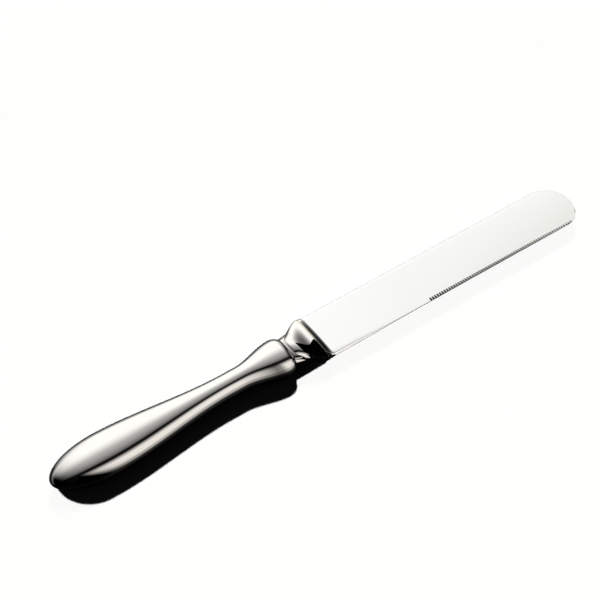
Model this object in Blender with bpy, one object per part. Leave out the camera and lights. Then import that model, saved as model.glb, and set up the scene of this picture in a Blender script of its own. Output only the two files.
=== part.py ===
"""Table knife with a hollow handle, lying on its side.

X runs along the knife to the tip, Y towards the spine, Z up. Inside this script the
knife's axis is Y = Z = 0 and X is counted from the butt; an empty carries every piece
to its place, so that the knife rests on the plane Z = 0 with its box centred on the origin.
"""

from math import cos, copysign, pi, radians, sin, sqrt

import bmesh
import bpy
from mathutils import Vector

# Stretches of the handle, one after the other from the butt to the lip
BUTT_LENGTH = 0.0228
TAPER_LENGTH = 0.053
WAIST_LENGTH = 0.0056
RISE_LENGTH = 0.0177
SHOULDER_LENGTH = 0.0039
COVE_LENGTH = 0.0108
LIP_LAND = 0.0004

# Bead that rises from the crease at the start of the cove, and the fall from it towards the lip
BEAD_LENGTH = 0.0021
FALL_LENGTH = 0.0072

# Full widths (along Y) and thicknesses (along Z) of the handle where the stretches meet
BUTT_WIDTH = 0.0194
BUTT_THICKNESS = 0.0118
WAIST_WIDTH = 0.0103
WAIST_THICKNESS = 0.0097
SWELL_WIDTH = 0.0173
SWELL_THICKNESS = 0.0118
CREASE_WIDTH = 0.0113
CREASE_THICKNESS = 0.0068
BEAD_THICKNESS = 0.0092
LIP_WIDTH = 0.0223
LIP_THICKNESS = 0.0044

# Handle shells, the brazing wire in their seam and the cement, each this much deeper at the butt
SHELL_WALL = 0.0007
BRAZE_DIAMETER = 0.0008
CEMENT_COVER = 0.0010
BUTT_WALL_FACTOR = 1.5

# Blade forging: collar at the lip, tang in the handle, and blade, whose blunt heel thins into the edge
COLLAR_LAND = 0.0004
COLLAR_BEVEL = 0.0028
COLLAR_BURY = 0.00037
TANG_LENGTH = 0.058
BLADE_LENGTH = 0.1233
BLADE_WIDTH = 0.0213
SPINE_THICKNESS = 0.0021
EDGE_THICKNESS = 0.0008
TIP_THINNING = 0.0005
HEEL_EDGE_THICKNESS = 0.0015
HEEL_EDGE_LENGTH = 0.044
EASED_EDGE = 0.00015
SHOULDER_SETBACK = 0.0008

# Rounded tip: a longer round on the spine side and a tighter one that rises from the edge
TIP_SPINE_LENGTH = 0.011
TIP_EDGE_LENGTH = 0.0088
TIP_EDGE_RISE = 0.0102

# Teeth: grooves ground into the upper side, each a triangle that is widest and deepest at the edge
TOOTH_COUNT = 62
TOOTH_PITCH = 0.001146
TOOTH_WIDTH = 0.0009
TOOTH_REACH = 0.0013
TOOTH_LAND = 0.0001
TEETH_SETBACK = 0.0457
TOOTH_OVERCUT = 0.00003

# Gaps between pieces that touch, and the tang's room in the lip
FIT_GAP = 0.0003
TANG_CLEARANCE = 0.0004

# Superellipse powers: 2 is an ellipse, larger is squarer
ROUND_POWER = 2.0
LIP_POWER = 3.2
COLLAR_POWER = 6.0

# Facets
RING_SIDES = 32
FILLER_SIDES = 16
BUTT_STEPS = 8
TAPER_STEPS = 10
RISE_STEPS = 10
SHOULDER_STEPS = 5
BEAD_STEPS = 4
COVE_STEPS = 8
HEEL_STEPS = 8
TIP_STEPS = 10
BUTT_FLAT_ANGLE = radians(4)
TIP_FLAT_ANGLE = radians(4)
SMOOTH_ANGLE = radians(35)

# Places along X, from the butt
BUTT_END = BUTT_LENGTH
WAIST_START = BUTT_END + TAPER_LENGTH
WAIST_END = WAIST_START + WAIST_LENGTH
SWELL_AT = WAIST_END + RISE_LENGTH
CREASE_AT = SWELL_AT + SHOULDER_LENGTH
BEAD_AT = CREASE_AT + BEAD_LENGTH
COVE_END = CREASE_AT + COVE_LENGTH
LIP_AT = COVE_END + LIP_LAND
SEAT_AT = LIP_AT + FIT_GAP
BLADE_AT = SEAT_AT + COLLAR_LAND + COLLAR_BEVEL - SHOULDER_SETBACK
TIP_AT = BLADE_AT + BLADE_LENGTH
AXIS_HEIGHT = max(BUTT_THICKNESS, SWELL_THICKNESS) / 2


def ease(share):
    """Smooth step from 0 to 1, level at both ends."""
    return share * share * (3 - 2 * share)


def blend(start, end, share):
    """Value a share of the way from start to end."""
    return start + (end - start) * share


def round_over(x, start, length):
    """Quarter-round fall from 1 at start to 0 one length later."""
    return sqrt(max(0.0, 1 - ((x - start) / length) ** 2))


def half_size(x, butt, waist, swell, crease):
    """Half of the handle's width or thickness from the butt to the crease."""
    if x <= 0:
        return 0.0
    if x < BUTT_END:
        return butt / 2 * round_over(x, BUTT_END, BUTT_LENGTH)
    if x < WAIST_START:
        return blend(butt, waist, ease((x - BUTT_END) / TAPER_LENGTH)) / 2
    if x < WAIST_END:
        return waist / 2
    if x < SWELL_AT:
        return blend(waist, swell, ease((x - WAIST_END) / RISE_LENGTH)) / 2
    return blend(crease, swell, round_over(x, SWELL_AT, SHOULDER_LENGTH)) / 2


def half_width(x):
    if x <= CREASE_AT:
        return half_size(x, BUTT_WIDTH, WAIST_WIDTH, SWELL_WIDTH, CREASE_WIDTH)
    share = min(1.0, (x - CREASE_AT) / COVE_LENGTH)
    return blend(CREASE_WIDTH, LIP_WIDTH, (share + ease(share)) / 2) / 2


def half_thickness(x):
    if x <= CREASE_AT:
        return half_size(x, BUTT_THICKNESS, WAIST_THICKNESS, SWELL_THICKNESS, CREASE_THICKNESS)
    if x < BEAD_AT:
        return blend(CREASE_THICKNESS, BEAD_THICKNESS, round_over(x, BEAD_AT, BEAD_LENGTH)) / 2
    share = min(1.0, (x - BEAD_AT) / FALL_LENGTH)
    return blend(BEAD_THICKNESS, LIP_THICKNESS, ease(share)) / 2


def inset(size, x, depth):
    """Half size of a form that lies a depth inside the handle's skin, also before steep falls."""
    return min(size(x - depth), size(x), size(x + depth)) - depth


def power(x):
    """Squareness of the handle's section, which flattens from the crease to the lip."""
    share = min(1.0, max(0.0, (x - CREASE_AT) / COVE_LENGTH))
    return blend(ROUND_POWER, LIP_POWER, ease(share))


def handle_stations():
    """Places of the handle's rings, closer where its outline turns."""
    places = []
    for step in range(BUTT_STEPS):
        angle = blend(BUTT_FLAT_ANGLE, pi / 2, step / BUTT_STEPS)
        places.append(BUTT_LENGTH * (1 - cos(angle)))
    for step in range(TAPER_STEPS):
        places.append(blend(BUTT_END, WAIST_START, step / TAPER_STEPS))
    for step in range(RISE_STEPS + 1):
        places.append(blend(WAIST_END, SWELL_AT, step / RISE_STEPS))
    places.insert(-RISE_STEPS - 1, WAIST_START)
    for step in range(1, SHOULDER_STEPS + 1):
        places.append(SWELL_AT + SHOULDER_LENGTH * sin(pi / 2 * step / SHOULDER_STEPS))
    for step in range(1, BEAD_STEPS + 1):
        places.append(CREASE_AT + BEAD_LENGTH * (1 - cos(pi / 2 * step / BEAD_STEPS)))
    for step in range(1, COVE_STEPS + 1):
        places.append(blend(BEAD_AT, COVE_END, step / COVE_STEPS))
    places.append(LIP_AT)
    return places


def signed_power(value, exponent):
    return copysign(abs(value) ** exponent, value)


def add_ring(bm, x, wide, thick, squareness, sides):
    """Corners of one section across the axis at x; wide and thick are half sizes."""
    verts = []
    for step in range(sides):
        angle = 2 * pi * step / sides
        y = wide * signed_power(cos(angle), 2 / squareness)
        z = thick * signed_power(sin(angle), 2 / squareness)
        verts.append(bm.verts.new((x, y, z)))
    return verts


def loft(bm, rings):
    """Skin through the rings in turn, corner to corner, closed at both ends."""
    for first, second in zip(rings, rings[1:]):
        for i in range(len(first)):
            bm.faces.new((first[i - 1], first[i], second[i], second[i - 1]))
    bm.faces.new(rings[0])
    bm.faces.new(rings[-1])
    bmesh.ops.recalc_face_normals(bm, faces=bm.faces)


def finish(name, bm, material, parent):
    """New object from a bmesh, with its material, under the parent."""
    mesh = bpy.data.meshes.new(name)
    bm.to_mesh(mesh)
    bm.free()
    mesh.shade_smooth()
    mesh.set_sharp_from_angle(angle=SMOOTH_ANGLE)
    obj = bpy.data.objects.new(name, mesh)
    bpy.context.collection.objects.link(obj)
    obj.parent = parent
    if material:
        mesh.materials.append(material)
    return obj


def as_helper(obj):
    """Marks a form that only shapes another piece."""
    obj.hide_render = True
    obj.display_type = "WIRE"
    return obj


def add_boolean(target, tool, operation):
    modifier = target.modifiers.new(tool.name, "BOOLEAN")
    modifier.operation = operation
    modifier.object = tool
    modifier.solver = "EXACT"


def make_material(name, colour, roughness, metallic):
    material = bpy.data.materials.new(name)
    material.use_nodes = True
    shader = material.node_tree.nodes["Principled BSDF"]
    shader.inputs["Base Color"].default_value = (*colour, 1.0)
    shader.inputs["Roughness"].default_value = roughness
    shader.inputs["Metallic"].default_value = metallic
    return material


def make_shell(name, side, material, parent):
    """One pressed half of the handle; side is +1 above the seam and -1 below it."""
    bm = bmesh.new()
    places = handle_stations()
    rings = [add_ring(bm, x, half_width(x), half_thickness(x), power(x), RING_SIDES) for x in places]
    hollow_from = BUTT_WALL_FACTOR * SHELL_WALL
    hollow = [hollow_from] + [x for x in places if x > hollow_from]
    for x in reversed(hollow):
        wide = inset(half_width, x, SHELL_WALL)
        thick = inset(half_thickness, x, SHELL_WALL)
        rings.append(add_ring(bm, x, wide, thick, power(x), RING_SIDES))
    loft(bm, rings)
    cut = bmesh.ops.bisect_plane(
        bm,
        geom=bm.verts[:] + bm.edges[:] + bm.faces[:],
        plane_co=(0, 0, side * FIT_GAP / 2),
        plane_no=(0, 0, side),
        clear_inner=True,
    )
    seam = [item for item in cut["geom_cut"] if isinstance(item, bmesh.types.BMEdge)]
    bmesh.ops.edgeloop_fill(bm, edges=seam)
    bmesh.ops.recalc_face_normals(bm, faces=bm.faces)
    return finish(name, bm, material, parent)


def make_seam_braze(material, parent):
    """Brazing wire melted along the inside of the seam, round the butt from lip to lip."""
    depth = SHELL_WALL + FIT_GAP + BRAZE_DIAMETER / 2
    turn = BUTT_WALL_FACTOR * depth
    places = [x for x in handle_stations() if turn + BRAZE_DIAMETER < x < LIP_AT - depth]
    side = [(x, inset(half_width, x, depth)) for x in places]
    route = [(x, -y) for x, y in reversed(side)] + [(turn, 0.0)] + side
    curve = bpy.data.curves.new("seam_braze", "CURVE")
    curve.dimensions = "3D"
    curve.bevel_depth = BRAZE_DIAMETER / 2
    curve.bevel_resolution = 1
    curve.use_fill_caps = True
    spline = curve.splines.new("POLY")
    spline.points.add(len(route) - 1)
    for point, (x, y) in zip(spline.points, route):
        point.co = (x, y, 0, 1)
    curve.materials.append(material)
    obj = bpy.data.objects.new("seam_braze", curve)
    bpy.context.collection.objects.link(obj)
    obj.parent = parent
    return obj


def filler_insets():
    """Depth of the cement below the handle's skin, beside the seam and above or below it."""
    beside = SHELL_WALL + FIT_GAP + BRAZE_DIAMETER + FIT_GAP
    above = SHELL_WALL + FIT_GAP
    return beside, above


def tang_half_sizes():
    """Half width and half thickness of the tang, which passes the waist and the lip."""
    beside, _ = filler_insets()
    waist = inset(half_width, (WAIST_START + WAIST_END) / 2, beside)
    return waist - CEMENT_COVER - FIT_GAP, LIP_THICKNESS / 2 - SHELL_WALL - TANG_CLEARANCE


def make_box(name, low, high, parent):
    """Helper block between two corners."""
    bm = bmesh.new()
    bmesh.ops.create_cube(bm, size=1.0)
    low = Vector(low)
    high = Vector(high)
    bmesh.ops.scale(bm, vec=high - low, verts=bm.verts)
    bmesh.ops.translate(bm, vec=(low + high) / 2, verts=bm.verts)
    return as_helper(finish(name, bm, None, parent))


def make_filler(material, parent):
    """Cement cast inside the shells, with a pocket for the tang."""
    beside, above = filler_insets()
    bm = bmesh.new()
    start = BUTT_WALL_FACTOR * beside
    places = [start] + [x for x in handle_stations() if start < x <= SWELL_AT]
    rings = [
        add_ring(
            bm, x, inset(half_width, x, beside), inset(half_thickness, x, above), power(x), FILLER_SIDES
        )
        for x in places
    ]
    loft(bm, rings)
    filler = finish("handle_filler", bm, material, parent)
    wide, thick = tang_half_sizes()
    pocket = make_box(
        "tang_pocket",
        (LIP_AT - TANG_LENGTH - FIT_GAP, -wide - FIT_GAP, -thick - FIT_GAP),
        (LIP_AT, wide + FIT_GAP, thick + FIT_GAP),
        parent,
    )
    add_boolean(filler, pocket, "DIFFERENCE")
    return filler


def blade_half_thickness(x, y):
    """Height of the blade's side above its middle, from the blunt heel to the thin edge and tip."""
    run = max(0.0, x - BLADE_AT)
    edge = blend(HEEL_EDGE_THICKNESS, EDGE_THICKNESS, ease(min(1.0, run / HEEL_EDGE_LENGTH)))
    across = (y + BLADE_WIDTH / 2) / BLADE_WIDTH
    return (blend(edge, SPINE_THICKNESS, across) - TIP_THINNING * run / BLADE_LENGTH) / 2


def blade_edge(x):
    """Place of the edge along Y."""
    start = TIP_AT - TIP_EDGE_LENGTH
    fall = 1 - round_over(max(x, start), start, TIP_EDGE_LENGTH)
    return TIP_EDGE_RISE * fall - BLADE_WIDTH / 2


def blade_spine(x):
    """Place of the spine along Y."""
    start = TIP_AT - TIP_SPINE_LENGTH
    fall = 1 - round_over(max(x, start), start, TIP_SPINE_LENGTH)
    return BLADE_WIDTH / 2 - (BLADE_WIDTH - TIP_EDGE_RISE) * fall


def blade_stations():
    """Places of the blade's sections, closer where it thins at the heel and rounds at the tip."""
    places = [SEAT_AT + COLLAR_LAND]
    for step in range(1, HEEL_STEPS + 1):
        places.append(BLADE_AT + HEEL_EDGE_LENGTH * step / HEEL_STEPS)
    length = max(TIP_SPINE_LENGTH, TIP_EDGE_LENGTH)
    for step in range(TIP_STEPS + 1):
        angle = blend(0.0, pi / 2 - TIP_FLAT_ANGLE, step / TIP_STEPS)
        places.append(TIP_AT - length * (1 - sin(angle)))
    return places


def add_blade_section(bm, x):
    """Corners of the blade across the axis at x: square at the edge, eased at the spine."""
    low = blade_edge(x)
    high = blade_spine(x)
    inner = high - EASED_EDGE
    at_edge = blade_half_thickness(x, low)
    at_inner = blade_half_thickness(x, inner)
    at_spine = blade_half_thickness(x, high) - EASED_EDGE
    upper = [(low, at_edge), (inner, at_inner), (high, at_spine)]
    lower = [(y, -z) for y, z in reversed(upper)]
    return [bm.verts.new((x, y, z)) for y, z in upper + lower]


def add_tooth_cutter(bm, x):
    """Four-sided point whose lower ridge is the bottom of one groove."""
    edge = blade_edge(x)
    depth = 2 * blade_half_thickness(x, edge) - TOOTH_LAND
    front = blade_edge(x - TOOTH_PITCH / 2) - TOOTH_OVERCUT
    outside = 1 + (edge - front) / TOOTH_REACH
    above = TOOTH_OVERCUT / depth
    back = edge + TOOTH_REACH * (1 + above)
    spread = TOOTH_WIDTH / 2 * (outside + above)
    top = blade_half_thickness(x, front)
    corners = [
        (x, back, blade_half_thickness(x, back) + TOOTH_OVERCUT),
        (x, front, top - depth * outside),
        (x - spread, front, top + TOOTH_OVERCUT),
        (x + spread, front, top + TOOTH_OVERCUT),
    ]
    inner, ridge, left, right = [bm.verts.new(corner) for corner in corners]
    bm.faces.new((inner, left, ridge))
    bm.faces.new((inner, ridge, right))
    bm.faces.new((inner, right, left))
    bm.faces.new((left, right, ridge))


def make_blade(material, parent):
    """Blade, collar and tang, one forging, with its teeth ground in."""
    bm = bmesh.new()
    loft(bm, [add_blade_section(bm, x) for x in blade_stations()])
    blade = finish("blade", bm, material, parent)

    bm = bmesh.new()
    lip = (LIP_WIDTH / 2, LIP_THICKNESS / 2, LIP_POWER, RING_SIDES)
    buried = HEEL_EDGE_THICKNESS / 2 - COLLAR_BURY
    root = (BLADE_WIDTH / 2 - EASED_EDGE, buried, COLLAR_POWER, RING_SIDES)
    bevel_at = SEAT_AT + COLLAR_LAND
    rings = [add_ring(bm, SEAT_AT, *lip), add_ring(bm, bevel_at, *lip)]
    rings.append(add_ring(bm, bevel_at + COLLAR_BEVEL, *root))
    loft(bm, rings)
    collar = as_helper(finish("collar_form", bm, None, parent))
    add_boolean(blade, collar, "UNION")

    wide, thick = tang_half_sizes()
    tang = make_box(
        "tang_form",
        (LIP_AT - TANG_LENGTH, -wide, -thick),
        (SEAT_AT + COLLAR_LAND, wide, thick),
        parent,
    )
    add_boolean(blade, tang, "UNION")

    bm = bmesh.new()
    for count in range(TOOTH_COUNT):
        add_tooth_cutter(bm, BLADE_AT + TEETH_SETBACK + TOOTH_PITCH * count)
    bmesh.ops.recalc_face_normals(bm, faces=bm.faces)
    teeth = as_helper(finish("teeth_cutter", bm, None, parent))
    add_boolean(blade, teeth, "DIFFERENCE")
    return blade


def main():
    for old in list(bpy.data.objects):
        bpy.data.objects.remove(old, do_unlink=True)
    knife = bpy.data.objects.new("table_knife", None)
    middle = (handle_stations()[0] + blade_stations()[-1]) / 2
    knife.location = (-middle, 0, AXIS_HEIGHT)
    bpy.context.collection.objects.link(knife)

    blade_steel = make_material("polished_blade_steel", (0.80, 0.80, 0.79), 0.10, 1.0)
    handle_steel = make_material("polished_handle_steel", (0.72, 0.71, 0.69), 0.08, 1.0)
    braze = make_material("brazing_alloy", (0.80, 0.71, 0.50), 0.35, 1.0)
    cement = make_material("handle_cement", (0.56, 0.52, 0.46), 0.90, 0.0)

    make_blade(blade_steel, knife)
    make_shell("handle_shell_upper", 1, handle_steel, knife)
    make_shell("handle_shell_lower", -1, handle_steel, knife)
    make_seam_braze(braze, knife)
    make_filler(cement, knife)


main()
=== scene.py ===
# %% [markdown]
# # A table knife in polished steel
# The object is a table knife with a hollow handle: two pressed steel half shells joined along the sides, a
# fan-shaped bolster that ends in a thin lip, and a straight forged blade with a round tip and fine teeth.
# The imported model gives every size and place, so it is loaded first and kept as a fixed frame. Sizes below are
# in millimetres, measured from the butt of the handle, as a cutler would measure them.

# %% Load the frame
from math import atan2, copysign, cos, pi, radians, sin, sqrt

import bmesh
import bpy
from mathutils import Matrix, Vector


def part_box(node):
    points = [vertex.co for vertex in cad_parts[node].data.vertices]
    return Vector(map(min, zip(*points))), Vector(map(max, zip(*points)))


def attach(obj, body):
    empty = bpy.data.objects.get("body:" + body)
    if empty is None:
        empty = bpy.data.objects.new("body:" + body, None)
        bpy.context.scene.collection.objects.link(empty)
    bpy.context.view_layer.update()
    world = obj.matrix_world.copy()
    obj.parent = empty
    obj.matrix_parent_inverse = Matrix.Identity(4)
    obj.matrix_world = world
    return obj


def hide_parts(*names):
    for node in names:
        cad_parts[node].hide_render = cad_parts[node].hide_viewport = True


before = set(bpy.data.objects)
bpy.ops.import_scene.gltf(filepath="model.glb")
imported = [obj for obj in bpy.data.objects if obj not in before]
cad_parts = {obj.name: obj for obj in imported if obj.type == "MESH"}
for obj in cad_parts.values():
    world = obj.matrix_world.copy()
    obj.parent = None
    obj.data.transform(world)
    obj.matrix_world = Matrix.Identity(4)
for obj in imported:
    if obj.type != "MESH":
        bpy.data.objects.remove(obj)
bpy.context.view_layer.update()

MM = 0.001
print("frame nodes:", sorted(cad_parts))

# %% [markdown]
# ## Where the knife lies
# The handle's lower side rests on the floor, so its middle line is half the handle's thickness above it. The
# butt of the model is a tiny flat, cut where the round end turns within four degrees of upright, so the
# measuring point lies a hair behind it.

# %% The measuring point and the middle line
BUTT_FLAT_ANGLE = radians(4)
BUTT_LENGTH, BUTT_WIDTH, BUTT_THICK = 22.8, 19.4, 11.8
shell_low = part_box("handle_shell_lower")
butt_x = shell_low[0].x - BUTT_LENGTH * (1 - cos(BUTT_FLAT_ANGLE)) * MM
axis_z = shell_low[0].z + BUTT_THICK / 2 * MM


def place(x, y, z):
    """Millimetres from the butt and the middle line, as a point of the frame in metres."""
    return Vector((butt_x + x * MM, y * MM, axis_z + z * MM))


print("butt at x = %.4f m, middle line at z = %.4f m" % (butt_x, axis_z))

# %% [markdown]
# ## The camera
# The photograph looks down at the knife from above the handle's near side, with a long lens. The blade's
# straight lines fix the angle, so the camera is aimed at one point of the knife from a known distance, level
# and without shift, and other views can use the same lens.

# %% Camera
CAMERA_TURN, CAMERA_RISE = radians(35.26), radians(49.92)
CAMERA_FAR, LENS, SENSOR = 0.7665, 119.1, 36.0
AIM = Vector((0.00155, 0.01669, 0.0067))
towards_camera = Vector((-sin(CAMERA_TURN) * cos(CAMERA_RISE),
                         -cos(CAMERA_TURN) * cos(CAMERA_RISE), sin(CAMERA_RISE)))
camera_data = bpy.data.cameras.new("camera")
camera_data.lens, camera_data.sensor_width = LENS, SENSOR
camera = bpy.data.objects.new("camera", camera_data)
camera.location = AIM + towards_camera * CAMERA_FAR
camera.rotation_euler = towards_camera.to_track_quat("Z", "Y").to_euler()
bpy.context.collection.objects.link(camera)
bpy.context.scene.camera = camera
bpy.context.scene.view_settings.view_transform = "Standard"
print("camera at", [round(c, 4) for c in camera.location])

# %% [markdown]
# ## Colours and nodes
# Colours are written as the hex values that a colour picker shows. Blender's shaders work with linear light,
# so one function turns hex to linear. A second small function adds a node, sets it and links its inputs, so
# that each material below reads from top to bottom.


# %% Helpers for materials
def linear(hex_colour):
    """Linear RGBA of an sRGB hex colour."""
    parts = [int(hex_colour[i:i + 2], 16) / 255 for i in (1, 3, 5)]
    return [p / 12.92 if p <= 0.04045 else ((p + 0.055) / 1.055) ** 2.4 for p in parts] + [1]


def add(tree, kind, inputs, stops=(), **settings):
    """Adds a node: an input that is a socket gets linked, any other is a value. Stops are a ramp's greys."""
    node = tree.nodes.new(kind)
    for name, value in settings.items():
        setattr(node, name, value)
    for name, value in inputs.items():
        if isinstance(value, bpy.types.NodeSocket):
            tree.links.new(value, node.inputs[name])
        else:
            node.inputs[name].default_value = value
    if stops:
        elements = node.color_ramp.elements
        while len(elements) < len(stops):
            elements.new(0.5)
        for element, (position, value) in zip(elements, stops):
            element.position = position
            element.color = (value, value, value, 1)
    return node


def empty_material(name):
    """A material with an empty node tree."""
    material = bpy.data.materials.new(name)
    material.use_nodes = True
    material.node_tree.nodes.clear()
    return material, material.node_tree


SMOOTH = {"interpolation_type": "SMOOTHSTEP"}
print("white in linear light:", linear("#FFFFFF"))

# %% [markdown]
# ## The studio
# Polished steel shows nothing but its surroundings, so the studio is half of the finish. In the photograph the
# handle mirrors four things: a wide soft light behind and above it that fades towards the butt, a cream card
# in front that ends short of the bolster, a dark gap between the two, and a dark glossy table. Each is built
# for reflections, while the eye sees a plain pale floor.
#
# The soft light is in the world. It is an arch from the front horizon over the top to the back one, it fades to
# the left and to the right, and faint glows at the back left and far right keep the steel from going black
# when it is seen from other sides.

# %% World: which way a mirrored ray looks
world = bpy.data.worlds.new("studio")
bpy.context.scene.world = world
world.use_nodes = True
tree = world.node_tree
tree.nodes.clear()
toward = add(tree, "ShaderNodeTexCoord", {}).outputs["Generated"]
part = add(tree, "ShaderNodeSeparateXYZ", {"Vector": toward})
sideways = part.outputs["X"]
front = add(tree, "ShaderNodeMath", {0: part.outputs["Y"], 1: -1.0}, operation="MULTIPLY")
angle = add(tree, "ShaderNodeMath", {0: part.outputs["Z"], 1: front.outputs[0]}, operation="ARCTAN2")
half_turns = add(tree, "ShaderNodeMath", {0: angle.outputs[0], 1: pi}, operation="DIVIDE").outputs[0]
print("world: directions in half turns, from the front horizon over the top to the back one")

# %% World: how far the soft light reaches to each side
LEFT_DARK, LEFT_FULL = -0.70, 0.12
LOW_LEFT_DARK, LOW_LEFT_FULL, LOW_FROM, LOW_TO = -0.30, 0.28, 0.84, 0.98
BACK_LEFT_FROM, BACK_LEFT_TO, BACK_LEFT_GLOW = 0.70, 0.90, 0.15
RIGHT_DARK, RIGHT_FULL = 0.89, 0.50
FAR_RIGHT_FROM, FAR_RIGHT_TO, FAR_RIGHT_GLOW = 0.90, 0.97, 0.5
back_left = add(tree, "ShaderNodeMapRange", {"Value": half_turns, "From Min": BACK_LEFT_FROM,
                                             "From Max": BACK_LEFT_TO, "To Max": BACK_LEFT_GLOW}, **SMOOTH)
left = add(tree, "ShaderNodeMapRange", {"Value": sideways, "From Min": LEFT_DARK, "From Max": LEFT_FULL,
                                        "To Min": back_left.outputs[0]}, **SMOOTH)
low_left = add(tree, "ShaderNodeMapRange", {"Value": sideways, "From Min": LOW_LEFT_DARK,
                                            "From Max": LOW_LEFT_FULL}, **SMOOTH)
lowness = add(tree, "ShaderNodeMapRange", {"Value": half_turns, "From Min": LOW_FROM, "From Max": LOW_TO},
              **SMOOTH)
near_left = add(tree, "ShaderNodeMix", {"Factor": lowness.outputs[0], "A": left.outputs[0],
                                        "B": low_left.outputs[0]}, data_type="FLOAT")
right = add(tree, "ShaderNodeMapRange", {"Value": sideways, "From Min": RIGHT_DARK, "From Max": RIGHT_FULL},
            **SMOOTH)
far_right = add(tree, "ShaderNodeMapRange", {"Value": sideways, "From Min": FAR_RIGHT_FROM,
                                             "From Max": FAR_RIGHT_TO, "To Max": FAR_RIGHT_GLOW}, **SMOOTH)
rights = add(tree, "ShaderNodeMath", {0: right.outputs[0], 1: far_right.outputs[0]}, operation="MAXIMUM")
width = add(tree, "ShaderNodeMath", {0: near_left.outputs["Result"], 1: rights.outputs[0]},
            operation="MULTIPLY")
print("world: light from %.2f on the left to %.2f on the right" % (LEFT_DARK, RIGHT_DARK))

# %% World: the light itself
ARCH = [(0.0, 0.004), (0.425, 0.006), (0.438, 0.10), (0.50, 0.26), (0.585, 0.45), (0.667, 0.85),
        (0.72, 1.0), (0.96, 1.0), (0.985, 0.75), (1.0, 0.45)]
FILL, BACK_LIGHT = 0.004, 1.50
arch = add(tree, "ShaderNodeValToRGB", {"Fac": half_turns}, ARCH)
glow = add(tree, "ShaderNodeMath", {0: arch.outputs["Color"], 1: width.outputs[0]}, operation="MULTIPLY")
mirrored = add(tree, "ShaderNodeBackground", {"Color": glow.outputs[0], "Strength": BACK_LIGHT})
fill = add(tree, "ShaderNodeBackground", {"Color": linear("#FFFFFF"), "Strength": FILL})
path = add(tree, "ShaderNodeLightPath", {})
in_mirrors = add(tree, "ShaderNodeMath", {0: path.outputs["Is Glossy Ray"],
                                          1: path.outputs["Is Transmission Ray"]},
                 operation="ADD", use_clamp=True)
lit = add(tree, "ShaderNodeMixShader", {0: in_mirrors.outputs[0], 1: fill.outputs[0], 2: mirrored.outputs[0]})
pale = add(tree, "ShaderNodeBackground", {"Color": linear("#FAFAF9"), "Strength": 1.0})
mixed = add(tree, "ShaderNodeMixShader", {0: path.outputs["Is Camera Ray"], 1: lit.outputs[0],
                                          2: pale.outputs[0]})
add(tree, "ShaderNodeOutputWorld", {"Surface": mixed.outputs[0]})
print("world: soft back light for reflections, even fill of", FILL)

# %% [markdown]
# ## Floor and black glass
# The floor is a large pale sheet that takes the shadow. Steel would mirror that pale sheet and lose its black
# underside, so a photographer lays black glass below it. Here the glass is a second sheet at the same height
# that only reflections meet.


# %% Helpers for stage sheets
def sheet(name, corners, material):
    """A flat stage piece through four corners, started from a plane and settled corner by corner."""
    bpy.ops.object.select_all(action="DESELECT")
    bpy.ops.mesh.primitive_plane_add(size=1)
    piece = bpy.context.object
    piece.name = piece.data.name = name
    order = (0, 1, 3, 2)
    for index, corner in zip(order, corners):
        piece.data.vertices[index].co = corner
    piece.data.materials.append(material)
    return piece


def square(half):
    """The corners of a square on the floor."""
    return [(-half, -half, 0), (half, -half, 0), (half, half, 0), (-half, half, 0)]


def reflections_only(piece):
    """Hides a stage piece from the camera and from soft light, and leaves it to mirrors."""
    piece.visible_camera = piece.visible_diffuse = piece.visible_shadow = False
    piece.visible_transmission = piece.visible_volume_scatter = False


def upright(name, start, end, bottom, top, material):
    """A sheet for reflections that stands over the line from start to end."""
    piece = sheet(name, [place(*start, bottom), place(*end, bottom), place(*end, top), place(*start, top)],
                  material)
    reflections_only(piece)
    return piece


floor_z = -axis_z / MM
print("floor at z = %.1f mm from the middle line" % floor_z)

# %% Floor and black glass
FLOOR_HALF, TABLE_HALF, PULP = 8.0, 1.5, 25.0
floor_material, tree = empty_material("floor_white_paper")
spot = add(tree, "ShaderNodeTexCoord", {}).outputs["Object"]
pulp = add(tree, "ShaderNodeTexNoise", {"Vector": spot, "Scale": 1 / (PULP * MM), "Detail": 2.0})
tone = add(tree, "ShaderNodeMix", {"Factor": pulp.outputs["Fac"], "A": linear("#F5F5F4"),
                                   "B": linear("#F7F7F6")}, data_type="RGBA")
paper = add(tree, "ShaderNodeBsdfPrincipled", {"Base Color": tone.outputs["Result"], "Roughness": 0.9,
                                               "Specular IOR Level": 0.0})
add(tree, "ShaderNodeOutputMaterial", {"Surface": paper.outputs[0]})
floor = sheet("floor", square(FLOOR_HALF), floor_material)
floor.visible_glossy = False

table_material, tree = empty_material("table_black_glass")
glass = add(tree, "ShaderNodeBsdfPrincipled", {"Base Color": linear("#080808"), "Roughness": 0.03,
                                               "IOR": 1.1})
add(tree, "ShaderNodeOutputMaterial", {"Surface": glass.outputs[0]})
table = sheet("table_card", square(TABLE_HALF), table_material)
reflections_only(table)
print("stage:", floor.name, table.name)

# %% [markdown]
# ## The cream card
# The long bright band on the handle is a lit card in front of it. The band is darker along its foot and fades
# towards the butt, and its butt end is slanted, so the card's light is drawn to rise, to fade and to lean in
# the same way.

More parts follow.
